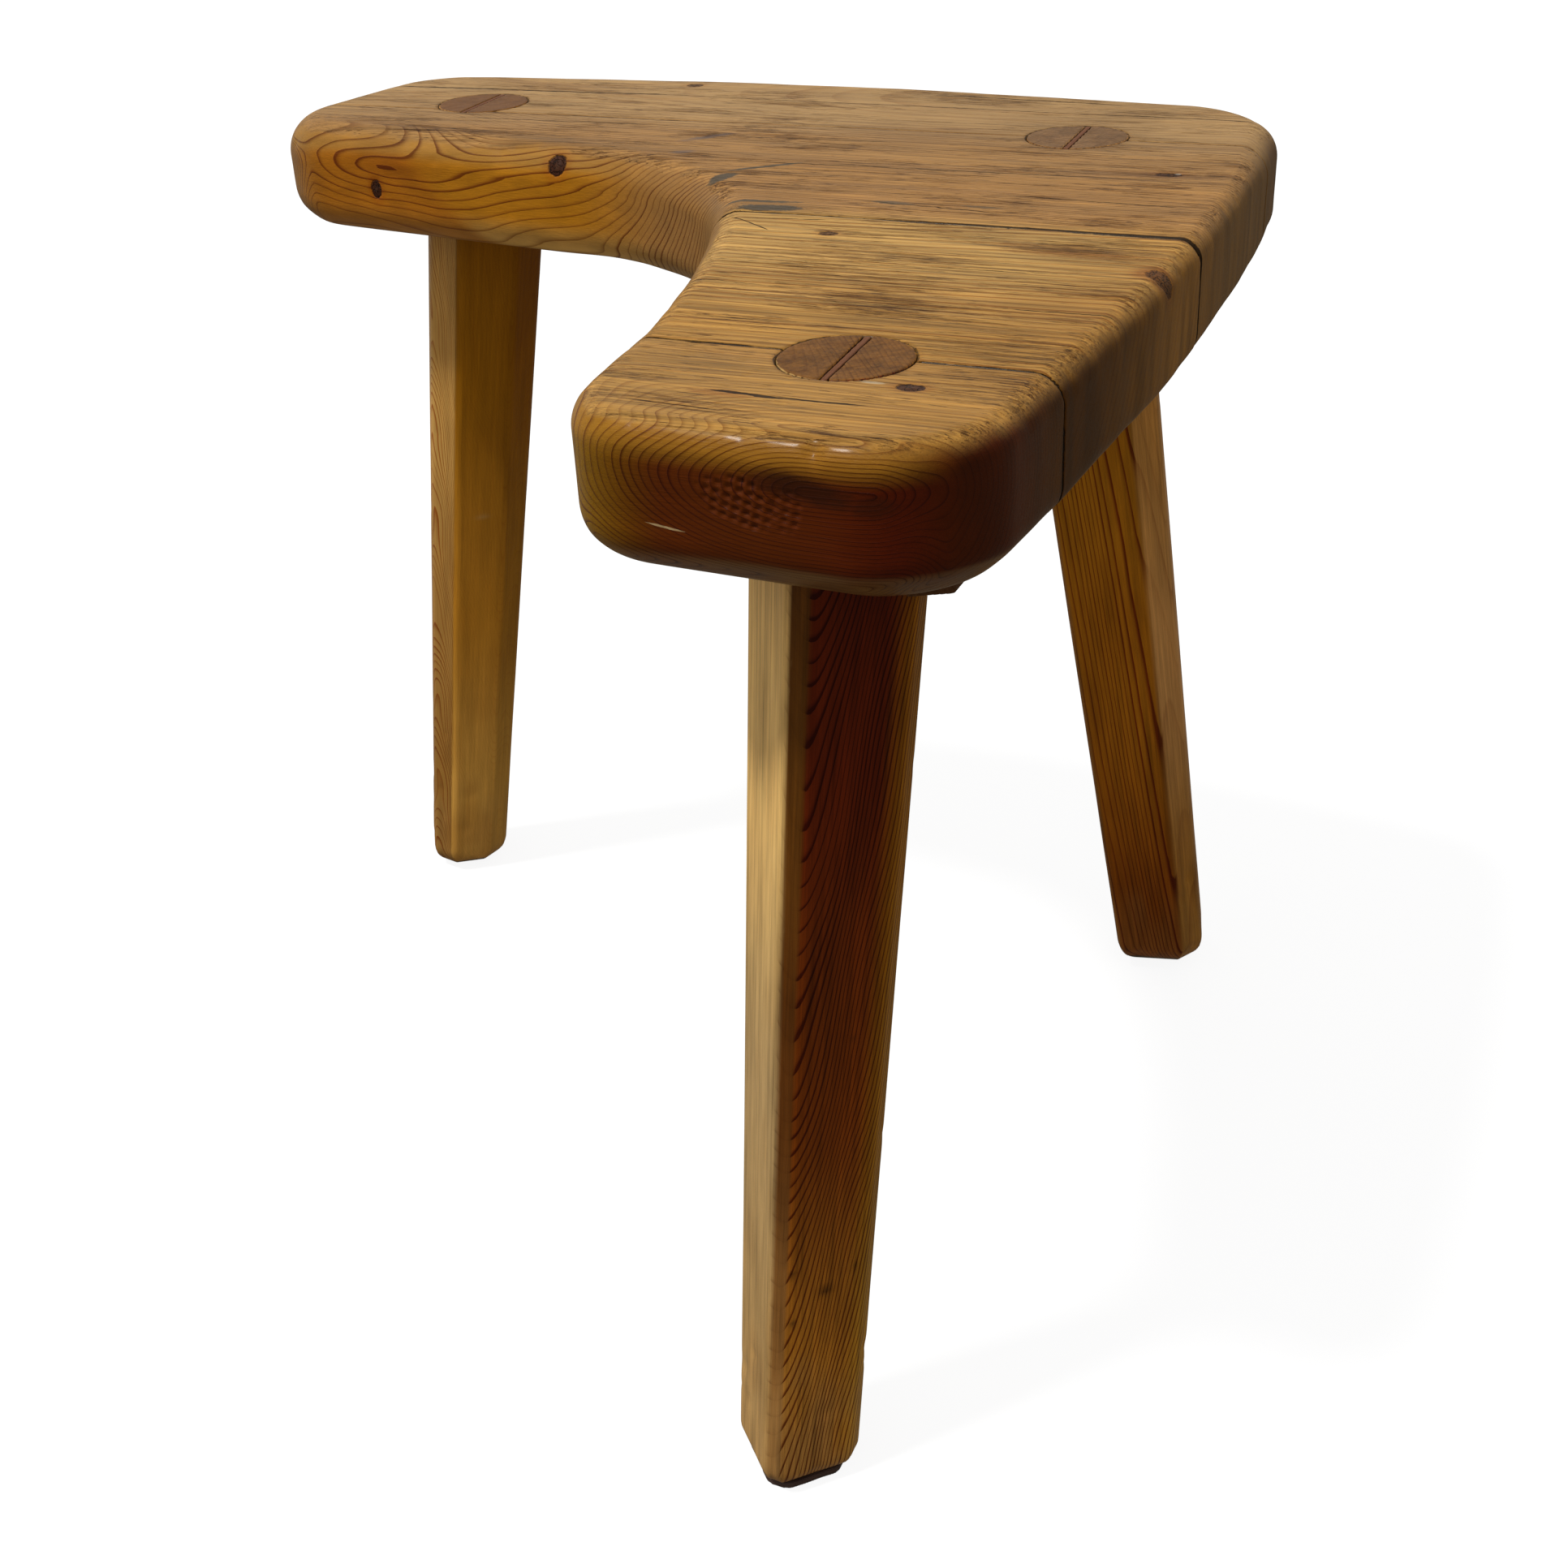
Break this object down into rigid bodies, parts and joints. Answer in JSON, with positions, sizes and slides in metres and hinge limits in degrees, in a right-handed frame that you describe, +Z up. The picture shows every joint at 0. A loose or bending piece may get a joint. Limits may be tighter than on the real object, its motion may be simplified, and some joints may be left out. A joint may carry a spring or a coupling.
{
  "type": "milking stool",
  "caption": "Low milking stool with an L-shaped pine seat on three splayed, chamfered legs with wedged through-tenons.",
  "frame": {"origin": "centre of the stool's bounding box, on the floor plane under the feet", "axes": "+Z up, +X along the grain of the seat boards towards the corner leg's side, +Y towards the back edge"},
  "size_m": [0.4666, 0.4572, 0.416],
  "materials": {
    "seat_pine": "old waxed pine, satin, worn grey-brown on top",
    "leg_pine": "old waxed pine, satin, planed facets",
    "wedge_wood": "darker hardwood end, satin",
    "batten_pine": "dark aged softwood, matt",
    "screw_steel": "dull steel",
    "pad_leather": "dark hard leather, matt"
  },
  "bodies": {
    "root": {"seat_board_back": "seat_pine", "seat_board_mid_back": "seat_pine", "seat_board_mid_front": "seat_pine", "seat_board_front": "seat_pine", "leg_left": "leg_pine", "leg_corner": "leg_pine", "leg_front": "leg_pine", "wedge_left": "wedge_wood", "wedge_corner": "wedge_wood", "wedge_front": "wedge_wood", "underside_batten": "batten_pine", "batten_screws": "screw_steel", "foot_pad": "pad_leather"}
  },
  "joints": []
}
